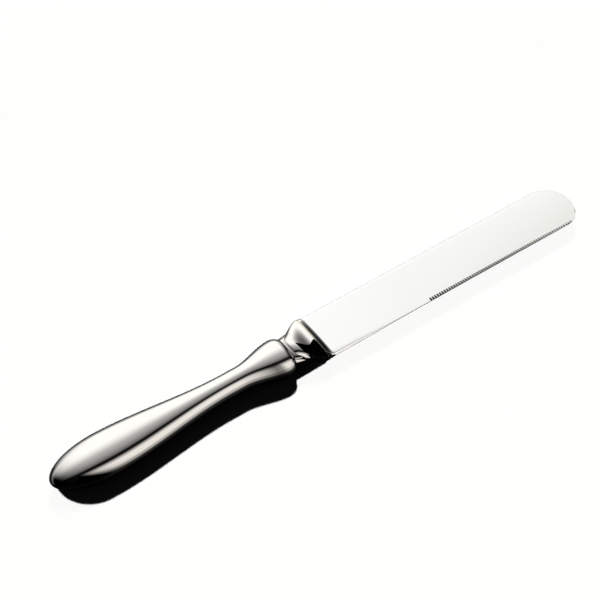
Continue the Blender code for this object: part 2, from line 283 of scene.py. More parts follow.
# %% Cream card
CARD_FAR, CARD_LEFT, CARD_RIGHT, CARD_TOP = -100.0, -40.0, 420.0, 230.0
CREAM_LIGHT, CARD_SLANT, SLANT_FROM = 1.20, 0.35, 100.0
CARD_RISE = [(0.0, 0.44), (0.11, 0.52), (0.22, 1.0), (0.54, 1.0), (0.66, 0.62), (1.0, 0.0)]
CARD_REACH = [(0, 0.0), (12, 0.25), (32, 0.75), (60, 1.0), (205, 1.0), (300, 0.8), (400, 0.6)]
card_material, tree = empty_material("card_cream_lit")
spot = add(tree, "ShaderNodeTexCoord", {}).outputs["Object"]
part = add(tree, "ShaderNodeSeparateXYZ", {"Vector": spot})
height = add(tree, "ShaderNodeMath", {0: part.outputs["Z"], 1: CARD_TOP * MM}, operation="DIVIDE")
rise = add(tree, "ShaderNodeValToRGB", {"Fac": height.outputs[0]}, CARD_RISE)
slanted = add(tree, "ShaderNodeMath", {0: part.outputs["Z"], 1: CARD_SLANT, 2: part.outputs["X"]},
              operation="MULTIPLY_ADD")
shift = CARD_SLANT * SLANT_FROM * MM
along = add(tree, "ShaderNodeMapRange", {"Value": slanted.outputs[0],
                                         "From Min": place(CARD_LEFT, 0, 0).x + shift,
                                         "From Max": place(CARD_RIGHT, 0, 0).x + shift})
reach = add(tree, "ShaderNodeValToRGB", {"Fac": along.outputs[0]},
            [((x - CARD_LEFT) / (CARD_RIGHT - CARD_LEFT), value) for x, value in CARD_REACH])
glow = add(tree, "ShaderNodeMath", {0: rise.outputs["Color"], 1: reach.outputs["Color"]}, operation="MULTIPLY")
strength = add(tree, "ShaderNodeMath", {0: glow.outputs[0], 1: CREAM_LIGHT}, operation="MULTIPLY")
lit = add(tree, "ShaderNodeEmission", {"Color": linear("#FFFBF8"), "Strength": strength.outputs[0]})
add(tree, "ShaderNodeOutputMaterial", {"Surface": lit.outputs[0]})
card = upright("cream_card", (CARD_LEFT, CARD_FAR), (CARD_RIGHT, CARD_FAR), floor_z, CARD_TOP, card_material)
print("stage:", card.name)

# %% [markdown]
# ## Flags, lid and gauze
# The bolster is almost black in the photograph, and the band dims where the handle rises to the swell. A
# photographer would stand small black flags close to the bolster, hold a black lid over it, and hang a gauze
# in front of the rise. They stand so near that each dims only its own part of the handle.

# %% Black flags and lid
FLAG_POSTS = [(102.3, -8.7), (106.8, -9.9), (118.5, -13.0)]
FLAG_TOPS, LID_HEIGHT = (2.0, 8.0), 6.5
LID_LEFT, LID_RIGHT, LID_NEAR, LID_FAR = 108.3, 119.8, -12.0, 1.5
flag_material, tree = empty_material("flag_black_felt")
felt = add(tree, "ShaderNodeBsdfPrincipled", {"Base Color": linear("#050505"), "Roughness": 1.0,
                                              "Specular IOR Level": 0.0})
add(tree, "ShaderNodeOutputMaterial", {"Surface": felt.outputs[0]})
for start, end, top in zip(FLAG_POSTS, FLAG_POSTS[1:], FLAG_TOPS):
    upright("black_flag", start, end, floor_z, top, flag_material)
lid = sheet("black_lid", [place(LID_LEFT, LID_NEAR, LID_HEIGHT), place(LID_RIGHT, LID_NEAR, LID_HEIGHT),
                          place(LID_RIGHT, LID_FAR, LID_HEIGHT), place(LID_LEFT, LID_FAR, LID_HEIGHT)],
            flag_material)
reflections_only(lid)
print("stage: %d flags, %s" % (len(FLAG_TOPS), lid.name))

# %% Black gauze
GAUZE_LEFT, GAUZE_RIGHT, GAUZE_FAR, GAUZE_TOP = 83.3, 99.5, -11.5, 30.0
GAUZE_DENSITY = [(GAUZE_LEFT, 0.0), (94.0, 0.78), (96.5, 0.7), (GAUZE_RIGHT, 0.0)]
gauze_material, tree = empty_material("gauze_black")
spot = add(tree, "ShaderNodeTexCoord", {}).outputs["Object"]
part = add(tree, "ShaderNodeSeparateXYZ", {"Vector": spot})
along = add(tree, "ShaderNodeMapRange", {"Value": part.outputs["X"], "From Min": place(GAUZE_LEFT, 0, 0).x,
                                         "From Max": place(GAUZE_RIGHT, 0, 0).x})
dense = add(tree, "ShaderNodeValToRGB", {"Fac": along.outputs[0]},
            [((x - GAUZE_LEFT) / (GAUZE_RIGHT - GAUZE_LEFT), value) for x, value in GAUZE_DENSITY])
holes = add(tree, "ShaderNodeBsdfTransparent", {})
threads = add(tree, "ShaderNodeBsdfPrincipled", {"Base Color": linear("#050505"), "Roughness": 1.0,
                                                 "Specular IOR Level": 0.0})
weave = add(tree, "ShaderNodeMixShader", {0: dense.outputs["Color"], 1: holes.outputs[0],
                                          2: threads.outputs[0]})
add(tree, "ShaderNodeOutputMaterial", {"Surface": weave.outputs[0]})
gauze = upright("black_gauze", (GAUZE_LEFT, GAUZE_FAR), (GAUZE_RIGHT, GAUZE_FAR), floor_z, GAUZE_TOP,
                gauze_material)
print("stage:", gauze.name)

# %% [markdown]
# ## A side card for the other views
# Seen from the blade's side, the handle mirrors the dark left of the studio and would be black all over. A
# white card over the butt gives it a broad soft reflection there. It is lit on the side that faces the blade
# only, and fades for rays that slant along it, so the photograph's own view does not meet it.

# %% Side card
SIDE_AT, SIDE_HALF, SIDE_LOW, SIDE_TOP, SIDE_LIGHT = 8.0, 90.0, 5.0, 90.0, 0.6
SIDE_RISE = [(0.0, 0.1), (0.25, 1.0), (0.6, 1.0), (1.0, 0.0)]
SLANT_SEEN, SLANT_LOST = 0.45, 0.75
side_material, tree = empty_material("card_white_lit_on_one_side")
spot = add(tree, "ShaderNodeTexCoord", {}).outputs["Object"]
part = add(tree, "ShaderNodeSeparateXYZ", {"Vector": spot})
height = add(tree, "ShaderNodeMapRange", {"Value": part.outputs["Z"], "From Min": place(0, 0, SIDE_LOW).z,
                                          "From Max": place(0, 0, SIDE_TOP).z})
rise = add(tree, "ShaderNodeValToRGB", {"Fac": height.outputs[0]}, SIDE_RISE)
strength = add(tree, "ShaderNodeMath", {0: rise.outputs["Color"], 1: SIDE_LIGHT}, operation="MULTIPLY")
lit = add(tree, "ShaderNodeEmission", {"Color": linear("#FFFDFB"), "Strength": strength.outputs[0]})
clear = add(tree, "ShaderNodeBsdfTransparent", {})
back = add(tree, "ShaderNodeNewGeometry", {}).outputs["Backfacing"]
edge_on = add(tree, "ShaderNodeLayerWeight", {"Blend": 0.5}).outputs["Facing"]
slanting = add(tree, "ShaderNodeMapRange", {"Value": edge_on, "From Min": SLANT_SEEN, "From Max": SLANT_LOST},
               **SMOOTH)
unseen = add(tree, "ShaderNodeMath", {0: back, 1: slanting.outputs[0]}, operation="MAXIMUM")
one_sided = add(tree, "ShaderNodeMixShader", {0: unseen.outputs[0], 1: lit.outputs[0], 2: clear.outputs[0]})
add(tree, "ShaderNodeOutputMaterial", {"Surface": one_sided.outputs[0]})
side_card = upright("side_card", (SIDE_AT, -SIDE_HALF), (SIDE_AT, SIDE_HALF), SIDE_LOW, SIDE_TOP, side_material)
print("stage:", side_card.name)

# %% [markdown]
# ## The lamps
# The dark area beside the handle lies straight towards the viewer, so the light comes from behind. Two sun
# lamps share the work, because a sun keeps the floor evenly bright in every view. The strong one has a small
# disc, and light linking lets only a hidden core inside the handle stop it, so the handle sits in a deep crisp
# shadow while the thin blade does not draw a second black knife on the floor. The weak one has a wide disc and
# is stopped by everything. Reflections meet neither, because the wide soft light of the world already stands
# in their place.

# %% Suns from behind
SUN_RISE = radians(50)
CRISP_LIGHT, CRISP_DISC, SOFT_LIGHT, SOFT_DISC = 4.2, 3, 0.22, 8
from_behind = Vector((sin(CAMERA_TURN) * cos(SUN_RISE), cos(CAMERA_TURN) * cos(SUN_RISE), sin(SUN_RISE)))


def sun_lamp(name, strength, disc):
    """A sun from behind the knife that reflections do not meet."""
    data = bpy.data.lights.new(name, "SUN")
    data.energy, data.angle = strength, radians(disc)
    lamp = bpy.data.objects.new(name, data)
    lamp.rotation_euler = from_behind.to_track_quat("Z", "Y").to_euler()
    lamp.location = from_behind
    lamp.visible_glossy = False
    bpy.context.collection.objects.link(lamp)
    return lamp


crisp_sun = sun_lamp("crisp_sun", CRISP_LIGHT, CRISP_DISC)
sun_lamp("soft_sun", SOFT_LIGHT, SOFT_DISC)
casts_crisp_shadow = bpy.data.collections.new("casts_crisp_shadow")
crisp_sun.light_linking.blocker_collection = casts_crisp_shadow
print("suns from", [round(c, 3) for c in from_behind])

# %% [markdown]
# ## Drawing a bar out ring by ring
# Both the handle and the blade are long bars whose section changes along their length. By hand one adds a
# circle, extrudes it along the bar, and sets each new ring to the section it has there. The helpers below do
# that: every vertex of the first ring remembers its number round the section, extruding copies that number,
# and a list of (y, z) points settles each ring.


# %% Helpers for drawn bars
def start_bar(name, sides, x, section, cap):
    """Adds the first ring of a bar, closed by a cap, and opens it in edit mode."""
    bpy.ops.object.select_all(action="DESELECT")
    bpy.ops.mesh.primitive_circle_add(vertices=sides, radius=MM, fill_type=cap, rotation=(0, pi / 2, 0),
                                      location=place(x, 0, 0))
    bpy.ops.object.transform_apply(location=True, rotation=True, scale=True)
    bar = bpy.context.object
    bar.name = bar.data.name = name
    bpy.ops.object.mode_set(mode="EDIT")
    bm = bmesh.from_edit_mesh(bar.data)
    number = bm.verts.layers.int.new("ring_place")
    ring = [v for v in bm.verts if abs(v.co.y) + abs(v.co.z - axis_z) > 0.1 * MM]
    ring.sort(key=lambda v: atan2(v.co.z - axis_z, v.co.y) % (2 * pi))
    for order, vertex in enumerate(ring):
        vertex[number] = order
    bpy.ops.mesh.select_all(action="DESELECT")
    for edge in bm.edges:
        edge.select_set(all(v in ring for v in edge.verts))
    settle(bar, x, section)
    return bar


def settle(bar, x, section):
    """Puts the selected ring on its section at x."""
    bm = bmesh.from_edit_mesh(bar.data)
    number = bm.verts.layers.int["ring_place"]
    for vertex in bm.verts:
        if vertex.select:
            vertex.co = place(x, *section[vertex[number]])
    bmesh.update_edit_mesh(bar.data)


def draw_to(bar, x, section):
    """Extrudes the selected ring and settles it at x."""
    bpy.ops.mesh.extrude_region_move(TRANSFORM_OT_translate={"value": (MM, 0, 0)})
    settle(bar, x, section)


def end_bar(bar, angle):
    """Closes the last ring at a point of its own, turns the faces outwards and smooths the round parts."""
    bpy.ops.mesh.edge_face_add()
    bpy.ops.mesh.select_all(action="SELECT")
    bpy.ops.mesh.normals_make_consistent(inside=False)
    bpy.ops.object.mode_set(mode="OBJECT")
    bar.data.attributes.remove(bar.data.attributes["ring_place"])
    bpy.ops.object.shade_smooth_by_angle(angle=angle)


def blend(a, b, share):
    """The value at a share of the way from a to b."""
    return a + (b - a) * share


def ease(share):
    """A share that starts and ends gently."""
    return share * share * (3 - 2 * share)


def round_over(x, start, length):
    """Height of a quarter ellipse that begins level at start and ends upright a length further on."""
    return sqrt(max(0.0, 1 - ((x - start) / length) ** 2))


def rounded_box(half_wide, half_thick, power, sides):
    """A superellipse: power 2 is an ellipse, and higher powers are squarer."""
    points = []
    for k in range(sides):
        c, s = cos(2 * pi * k / sides), sin(2 * pi * k / sides)
        points.append((half_wide * copysign(abs(c) ** (2 / power), c),
                       half_thick * copysign(abs(s) ** (2 / power), s)))
    return points


print("helpers ready")

# %% [markdown]
# ## The handle
# On the real knife two half shells are pressed from sheet, joined along the sides and buffed until the joint
# is gone, so the eye meets one unbroken mirror. It is drawn here as one skin: a round butt, a long taper to
# the waist, a swell with a rounded shoulder, a sharp crease, a small bead at the neck, and a cove that spreads
# to a wide thin lip. At the lip the skin turns in and runs back as the inner wall, so it is a real hollow
# shell. A revolved profile would give a round handle; rings let width and thickness change each in its own way.

# %% Handle sizes
TAPER_LENGTH, WAIST_LENGTH, RISE_LENGTH = 53.0, 5.6, 17.7
SHOULDER_LENGTH, COVE_LENGTH, LIP_LAND = 3.9, 10.8, 0.4
BEAD_LENGTH, BEAD_THICK, FALL_LENGTH = 2.1, 9.2, 8.5
WAIST = (10.3, 9.7)
SWELL = (17.3, 11.8)
CREASE = (11.3, 6.8)
LIP = (22.3, 4.4)
BUTT = (BUTT_WIDTH, BUTT_THICK)
ROUND_POWER, LIP_POWER = 2.0, 3.2
WALL, LEAST_HALF = 0.7, 0.3
waist_at = BUTT_LENGTH + TAPER_LENGTH
rise_at = waist_at + WAIST_LENGTH
swell_at = rise_at + RISE_LENGTH
crease_at = swell_at + SHOULDER_LENGTH
cove_end = crease_at + COVE_LENGTH
lip_at = cove_end + LIP_LAND
print("handle: swell at %.1f mm, lip at %.1f mm" % (swell_at, lip_at))


# %% Handle sections
def handle_half(x, which):
    """Half the handle's width (which 0) or thickness (which 1) at x."""
    if x <= BUTT_LENGTH:
        return BUTT[which] / 2 * round_over(x, BUTT_LENGTH, BUTT_LENGTH)
    if x <= waist_at:
        return blend(BUTT[which], WAIST[which], ease((x - BUTT_LENGTH) / TAPER_LENGTH)) / 2
    if x <= rise_at:
        return WAIST[which] / 2
    if x <= swell_at:
        return blend(WAIST[which], SWELL[which], ease((x - rise_at) / RISE_LENGTH)) / 2
    if x <= crease_at:
        return blend(CREASE[which], SWELL[which], round_over(x, swell_at, SHOULDER_LENGTH)) / 2
    if which == 0:
        share = min(1.0, (x - crease_at) / COVE_LENGTH)
        return blend(CREASE[0], LIP[0], (share + ease(share)) / 2) / 2
    bead_at = crease_at + BEAD_LENGTH
    if x <= bead_at:
        return blend(CREASE[1], BEAD_THICK, round_over(x, bead_at, BEAD_LENGTH)) / 2
    return blend(BEAD_THICK, LIP[1], ease(min(1.0, (x - bead_at) / FALL_LENGTH))) / 2


def handle_section(x, inset, sides):
    """The handle's ring at x, or its inner wall's ring where inset is more than 0."""
    square = ease(min(1.0, max(0.0, (x - crease_at) / COVE_LENGTH))) ** 2
    half = [max(LEAST_HALF, handle_half(x, which) - inset) for which in (0, 1)]
    return rounded_box(half[0], half[1], blend(ROUND_POWER, LIP_POWER, square), sides)


def steps(start, end, count):
    """Places from start to end, without start itself."""
    return [blend(start, end, k / count) for k in range(1, count + 1)]


BUTT_STEPS, TAPER_STEPS, WAIST_STEPS, RISE_STEPS = 22, 34, 3, 22
SHOULDER_STEPS, BEAD_STEPS, COVE_STEPS = 10, 8, 18
INNER_COVE, INNER_CREASE, INNER_RISE = 108.8, 1.0, 93.0
INNER_TAPER, INNER_BUTT = [64.0, 48.0, 33.0], [11.0, 5.0, 2.0]
butt_rings = [BUTT_LENGTH * (1 - sin(blend(pi / 2 - BUTT_FLAT_ANGLE, 0, k / BUTT_STEPS)))
              for k in range(BUTT_STEPS + 1)]
shoulder_rings = [swell_at + SHOULDER_LENGTH * sin(pi / 2 * k / SHOULDER_STEPS)
                  for k in range(1, SHOULDER_STEPS + 1)]
bead_rings = [crease_at + BEAD_LENGTH * (1 - cos(pi / 2 * k / BEAD_STEPS)) for k in range(1, BEAD_STEPS + 1)]
outer_rings = (butt_rings + steps(BUTT_LENGTH, waist_at, TAPER_STEPS) + steps(waist_at, rise_at, WAIST_STEPS)
               + steps(rise_at, swell_at, RISE_STEPS) + shoulder_rings + bead_rings
               + steps(crease_at + BEAD_LENGTH, cove_end, COVE_STEPS) + [lip_at])
inner_rings = ([lip_at, INNER_COVE, crease_at - INNER_CREASE, swell_at, INNER_RISE, rise_at, waist_at]
               + INNER_TAPER + [BUTT_LENGTH] + INNER_BUTT)
print("handle: %d outer rings and %d inner rings" % (len(outer_rings), len(inner_rings)))

# %% Handle skin
HANDLE_SIDES, SMOOTH_ANGLE = 80, radians(35)
handle = start_bar("handle_skin", HANDLE_SIDES, outer_rings[0],
                   handle_section(outer_rings[0], 0, HANDLE_SIDES), "NGON")
for x in outer_rings[1:]:
    draw_to(handle, x, handle_section(x, 0, HANDLE_SIDES))
for x in inner_rings:
    draw_to(handle, x, handle_section(x, WALL, HANDLE_SIDES))
end_bar(handle, SMOOTH_ANGLE)
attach(handle, "root")
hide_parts("handle_shell_upper", "handle_shell_lower")
print("handle skin:", len(handle.data.polygons), "faces")

# %% [markdown]
# ## The dark area under the handle
# In the photograph black glass mirrors the handle, so a dark area as wide as the handle lies along its near
# side, shorter at the butt and narrow at the bolster. A pale floor cannot mirror it, and the shadow of the
# strong sun stands in for it. The sun is stopped by a plain core, with the handle's own width, a blunter butt
# and a straight neck. It is drawn like the handle and only shadows meet it.

# %% Shadow core
CORE_SIDES, CORE_ROUND, CORE_FULL, CORE_SKEW = 40, 15.6, 21.2, 4.5
CORE_BUTT_STEPS, CORE_TAPER_STEPS, CORE_RISE_STEPS = 14, 16, 12
NECK = [(crease_at + 1.3, 4.4), (118.0, 4.0), (120.5, 2.0)]
NECK_HALF_THICK = 2.0


def core_section(x):
    """The core's ring at x: the handle's own, or a shorter skew round at the butt."""
    if x >= CORE_FULL:
        return rounded_box(handle_half(x, 0), handle_half(x, 1), ROUND_POWER, CORE_SIDES)
    butt = round_over(x, CORE_FULL, CORE_ROUND)
    ring = rounded_box(BUTT[0] / 2 * butt, BUTT[1] / 2 * butt, ROUND_POWER, CORE_SIDES)
    return [(y + CORE_SKEW * (1 - butt), z) for y, z in ring]


core_butt = [CORE_FULL - CORE_ROUND * cos(blend(BUTT_FLAT_ANGLE, pi / 2, k / CORE_BUTT_STEPS))
             for k in range(CORE_BUTT_STEPS + 1)]
core_rings = (core_butt + steps(BUTT_LENGTH, waist_at, CORE_TAPER_STEPS)
              + steps(rise_at, swell_at, CORE_RISE_STEPS) + shoulder_rings)
core = start_bar("shadow_core", CORE_SIDES, core_rings[0], core_section(core_rings[0]), "NGON")
for x in core_rings[1:]:
    draw_to(core, x, core_section(x))
for x, half_wide in NECK:
    draw_to(core, x, rounded_box(half_wide, NECK_HALF_THICK, ROUND_POWER, CORE_SIDES))
end_bar(core, SMOOTH_ANGLE)
core.visible_camera = core.visible_diffuse = False
core.visible_glossy = core.visible_transmission = False
casts_crisp_shadow.objects.link(core)
print("shadow core from %.1f to %.1f mm" % (core_rings[0], NECK[-1][0]))

# %% [markdown]
# ## The black lining that deepens the shadow
# Light that leaves bright steel would fall back into the shadow beside it and turn its butt end grey. So soft
# light does not meet the handle, and meets a black lining just under its skin instead: painted shade, a dark
# piece that deepens the shadow and is no part of the knife.

# %% Black lining that deepens the shadow
LINING_INSET = 0.1
lining = start_bar("shadow_deepening_lining", CORE_SIDES, outer_rings[0],
                   handle_section(outer_rings[0], LINING_INSET, CORE_SIDES), "NGON")
for x in outer_rings[1:]:
    draw_to(lining, x, handle_section(x, LINING_INSET, CORE_SIDES))
end_bar(lining, SMOOTH_ANGLE)
# Painted shade: the black lining keeps the handle's shadow on the floor deep black.
lining.data.materials.append(flag_material)
lining.visible_camera = lining.visible_glossy = False
lining.visible_transmission = lining.visible_shadow = False
handle.visible_diffuse = False
print("felt lining:", len(lining.data.polygons), "faces")

# %% [markdown]
# ## The blade
# Blade, collar and tang are one forging on the real knife. The tang is a plain bar inside the handle, the
# collar closes the lip with a bevel, and the blade runs out from a small fillet. Its spine is thick and its
# edge thin, and near the heel the edge stays blunt, which shows as a narrow strip that fades away towards the
# teeth. The underside is thinned along the edge and at the tip, so that they look fine from the side. It is
# drawn as one bar too, from the end of the tang to the tip, because the fillet then flows without a joint. The
# section is a ring of 43 points: the spine, the upper face, the edge and the lower face.

# %% Blade sizes
SEAT_GAP, COLLAR_LAND, BEVEL_LENGTH = 0.3, 0.15, 2.25
TANG_LENGTH, TANG_HALF = 58.0, (1.75, 1.1)
BLADE_LENGTH, BLADE_WIDTH = 123.3, 21.3
SPINE_THICK, EDGE_THICK, HEEL_THICK, TIP_THINNING = 2.1, 0.8, 1.5, 0.5
HEEL_LENGTH, HEEL_DROP, UNDER_SHARE = 44.0, 0.35, 0.3
HEEL_STRIP, LEAST_STRIP, STRIP_LENGTH = 0.75, 0.02, 38.0
TIP_SPINE_LENGTH, TIP_EDGE_LENGTH, TIP_EDGE_RISE = 11.0, 8.8, 10.2
EASED_SPINE, CORNER_SHARE = 0.65, 0.25
STRIP_TOP, STRIP_TURN, STRIP_FALL = 1.2, 0.85, 0.1
TIP_LIFT, TIP_LIFT_LENGTH = 0.75, 14.0
seat_at = lip_at + SEAT_GAP
bevel_at = seat_at + COLLAR_LAND
blade_at = bevel_at + BEVEL_LENGTH
tip_at = blade_at + BLADE_LENGTH
print("blade from %.1f to %.1f mm" % (blade_at, tip_at))


# %% Blade outline and thickness
def blade_half_thick(x, y):
    """Half the blade's thickness at x and at height y across it."""
    run = max(0.0, x - blade_at)
    edge = blend(HEEL_THICK, EDGE_THICK, ease(min(1.0, run / HEEL_LENGTH)))
    full = blend(edge, SPINE_THICK, (y + BLADE_WIDTH / 2) / BLADE_WIDTH)
    return (full - TIP_THINNING * run / BLADE_LENGTH) / 2


def blade_edge(x):
    """The edge's height across the blade at x."""
    start = tip_at - TIP_EDGE_LENGTH
    return TIP_EDGE_RISE * (1 - round_over(max(x, start), start, TIP_EDGE_LENGTH)) - BLADE_WIDTH / 2


def blade_spine(x):
    """The spine's height across the blade at x."""
    start = tip_at - TIP_SPINE_LENGTH
    drop = BLADE_WIDTH - TIP_EDGE_RISE
    return BLADE_WIDTH / 2 - drop * (1 - round_over(max(x, start), start, TIP_SPINE_LENGTH))


print("edge at the tip: %.1f mm from the middle line" % blade_edge(tip_at))

# %% Blade sections
FACE_STEPS, SPINE_STEPS = 14, 6
blade_sides = 2 * FACE_STEPS + 4 + 2 * SPINE_STEPS - 1


def blade_ring(x):
    """The blade's section: up the spine, over the upper face, down the edge and back under the lower face."""
    thinned = ease(min(1.0, max(0.0, x - blade_at) / STRIP_LENGTH))
    low, high = blade_edge(x) - HEEL_DROP * (1 - thinned), blade_spine(x)
    eased = min(EASED_SPINE, CORNER_SHARE * (high - low))
    turn = high - eased
    spine, edge = blade_half_thick(x, turn), blade_half_thick(x, low)
    strip = min(blend(HEEL_STRIP, LEAST_STRIP, thinned), CORNER_SHARE * (high - low))
    corner = [(turn + eased * cos(pi / 2 * k / SPINE_STEPS), spine * sin(pi / 2 * k / SPINE_STEPS))
              for k in range(SPINE_STEPS)]
    upper = [blend(turn, low + STRIP_TOP * strip, k / FACE_STEPS) for k in range(FACE_STEPS + 1)]
    lower = [blend(low, turn, k / FACE_STEPS) for k in range(FACE_STEPS + 1)]
    top = [(y, blade_half_thick(x, y)) for y in upper]
    lift = 1 - TIP_LIFT * ease(min(1.0, max(0.0, 1 - (tip_at - x) / TIP_LIFT_LENGTH)))
    under = [(low, -UNDER_SHARE * edge)] + [(y, -blade_half_thick(x, y) * lift) for y in lower[1:]]
    blunt = [(low + STRIP_TURN * strip, edge - STRIP_FALL * strip), (low, edge - strip)]
    return corner + top + blunt + under + [(y, -z) for y, z in reversed(corner[1:])]


def collar_ring(share):
    """A ring between the blade's section (share 0) and the lip's rounded box (share 1)."""
    ring = []
    for y, z in blade_ring(blade_at):
        across = y / (BLADE_WIDTH / 2)
        up = z / blade_half_thick(blade_at, min(y, BLADE_WIDTH / 2 - EASED_SPINE))
        a = atan2(up, across)
        lip_y = LIP[0] / 2 * copysign(abs(cos(a)) ** (2 / LIP_POWER), cos(a))
        lip_z = LIP[1] / 2 * copysign(abs(sin(a)) ** (2 / LIP_POWER), sin(a))
        ring.append((blend(y, lip_y, share), blend(z, lip_z, share)))
    return ring


def scaled_ring(ring, half):
    """The ring's shape at another half width and half thickness."""
    wide = max(abs(y) for y, z in ring)
    thick = max(abs(z) for y, z in ring)
    return [(y / wide * half[0], z / thick * half[1]) for y, z in ring]


print("blade: %d points in its section" % blade_sides)

# %% Blade drawn from the tang to the tip
FILLET, TIP_FLAT_ANGLE = 0.7, radians(4)
BEVEL_STEPS, FILLET_STEPS, HEEL_STEPS, STRAIGHT_STEPS, TIP_STEPS = 6, 6, 20, 4, 22
tang_ring = scaled_ring(collar_ring(1), TANG_HALF)
blade = start_bar("blade_forging", blade_sides, lip_at - TANG_LENGTH, tang_ring, "NGON")
draw_to(blade, seat_at, tang_ring)
draw_to(blade, seat_at, collar_ring(1))
draw_to(blade, bevel_at, collar_ring(1))
for k in range(1, BEVEL_STEPS + 1):
    share = 1 - k / BEVEL_STEPS * (1 - FILLET / BEVEL_LENGTH)
    draw_to(blade, bevel_at + BEVEL_LENGTH * (1 - share), collar_ring(share))
for k in range(1, FILLET_STEPS + 1):
    along = 2 * FILLET * k / FILLET_STEPS
    share = FILLET / BEVEL_LENGTH * (1 - k / FILLET_STEPS) ** 2
    draw_to(blade, blade_at - FILLET + along, collar_ring(share))
tip_from = tip_at - TIP_SPINE_LENGTH
heel_rings = steps(blade_at + FILLET, blade_at + HEEL_LENGTH, HEEL_STEPS)
straight_rings = steps(blade_at + HEEL_LENGTH, tip_from, STRAIGHT_STEPS)
tip_rings = [tip_from + TIP_SPINE_LENGTH * sin(blend(0, pi / 2 - TIP_FLAT_ANGLE, k / TIP_STEPS))
             for k in range(1, TIP_STEPS + 1)]
for x in heel_rings + straight_rings + tip_rings:
    draw_to(blade, x, blade_ring(x))
end_bar(blade, SMOOTH_ANGLE)
print("blade forging:", len(blade.data.polygons), "faces")

# %% [markdown]
# ## The teeth
# A narrow grinding wheel cuts the teeth into the upper side of the edge. Each cut is a small groove that is
# widest and deepest at the edge and blunt where it runs out on the face. It stops above the underside, so the
# outline of the edge stays smooth, and the last grooves before the round of the tip are smaller. One cutter is
# made from a four-sided cone that stands on its point, an Array modifier repeats it at the pitch, each copy is
# settled on the thinning edge, and a Boolean takes them all away at once.

# %% A row of tooth cutters
TOOTH_COUNT, TOOTH_PITCH, TOOTH_WIDTH, TOOTH_REACH = 62, 1.146, 0.95, 1.4
TOOTH_LAND, TEETH_SETBACK, OVERCUT, STAND_PROUD = 0.04, 46.2, 0.03, 1.25
TOOTH_END, TOOTH_FADE, FADE_POWER = 0.62, 0.32, 4
CONE_RADIUS, CONE_DEPTH, CONE_TURN = 0.4, 0.5, pi / 6
first_tooth = blade_at + TEETH_SETBACK
bpy.ops.object.select_all(action="DESELECT")
bpy.ops.mesh.primitive_cone_add(vertices=4, radius1=CONE_RADIUS * MM, depth=CONE_DEPTH * MM,
                                location=place(first_tooth, 0, 0))
bpy.ops.object.transform_apply(location=True, rotation=True, scale=True)
cutter = bpy.context.object
row = cutter.modifiers.new("row", "ARRAY")
row.count, row.use_relative_offset, row.use_constant_offset = TOOTH_COUNT, False, True
row.constant_offset_displace = (TOOTH_PITCH * MM, 0, 0)
bpy.ops.object.modifier_apply(modifier="row")
print("cutters:", TOOTH_COUNT, "at a pitch of", TOOTH_PITCH, "mm")

# %% Each cutter settled on the edge
corners_each = len(cutter.data.vertices) // TOOTH_COUNT
for tooth in range(TOOTH_COUNT):
    x = first_tooth + tooth * TOOTH_PITCH
    edge = blade_edge(x - TOOTH_PITCH / 2) - OVERCUT
    size = 1 - TOOTH_FADE * (tooth / (TOOTH_COUNT - 1)) ** FADE_POWER
    inner = blade_edge(x) + TOOTH_REACH * size
    top, back = blade_half_thick(x, edge), blade_half_thick(x, inner)
    half_end, half_wide = size * TOOTH_END / 2, size * TOOTH_WIDTH / 2
    point = Vector((x, edge, TOOTH_LAND - UNDER_SHARE * top))
    rim = [Vector((x + half_end, inner, back)), Vector((x - half_end, inner, back)),
           Vector((x - half_wide, edge, top)), Vector((x + half_wide, edge, top))]
    copy = list(cutter.data.vertices)[tooth * corners_each:(tooth + 1) * corners_each]
    middle = place(x, 0, 0).x
    tip = max(copy, key=lambda v: v.co.z)
    base = sorted((v for v in copy if v is not tip),
                  key=lambda v: (atan2(v.co.y, v.co.x - middle) - CONE_TURN) % (2 * pi))
    tip.co = place(*point)
    for vertex, corner in zip(base, rim):
        vertex.co = place(*(point + (corner - point) * STAND_PROUD))
bpy.ops.object.mode_set(mode="EDIT")
bpy.ops.mesh.select_all(action="SELECT")
bpy.ops.mesh.normals_make_consistent(inside=False)
bpy.ops.object.mode_set(mode="OBJECT")
print("cutter:", len(cutter.data.polygons), "faces")

# %% Teeth cut into the blade
bpy.ops.object.select_all(action="DESELECT")
blade.select_set(True)
bpy.context.view_layer.objects.active = blade
cuts = blade.modifiers.new("teeth", "BOOLEAN")
cuts.operation, cuts.object, cuts.solver = "DIFFERENCE", cutter, "EXACT"
bpy.ops.object.modifier_apply(modifier="teeth")
bpy.data.objects.remove(cutter)
bpy.ops.object.shade_smooth_by_angle(angle=SMOOTH_ANGLE)
level = blade.modifiers.new("level_faces", "WEIGHTED_NORMAL")
level.keep_sharp = True
bpy.ops.object.modifier_apply(modifier="level_faces")
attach(blade, "root")
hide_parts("blade")
print("blade with %d teeth: %d faces" % (TOOTH_COUNT, len(blade.data.polygons)))

# %% [markdown]
# ## The solder line
# Where the lip meets the collar a hair-thin line of silver solder shows, a little yellower than the steel. It
# is a flat ring in the joint: a ring drawn the joint's length, turned in and drawn back. The wall that would lie
# against the lip is not drawn, so the piece is open there, hidden in the joint.

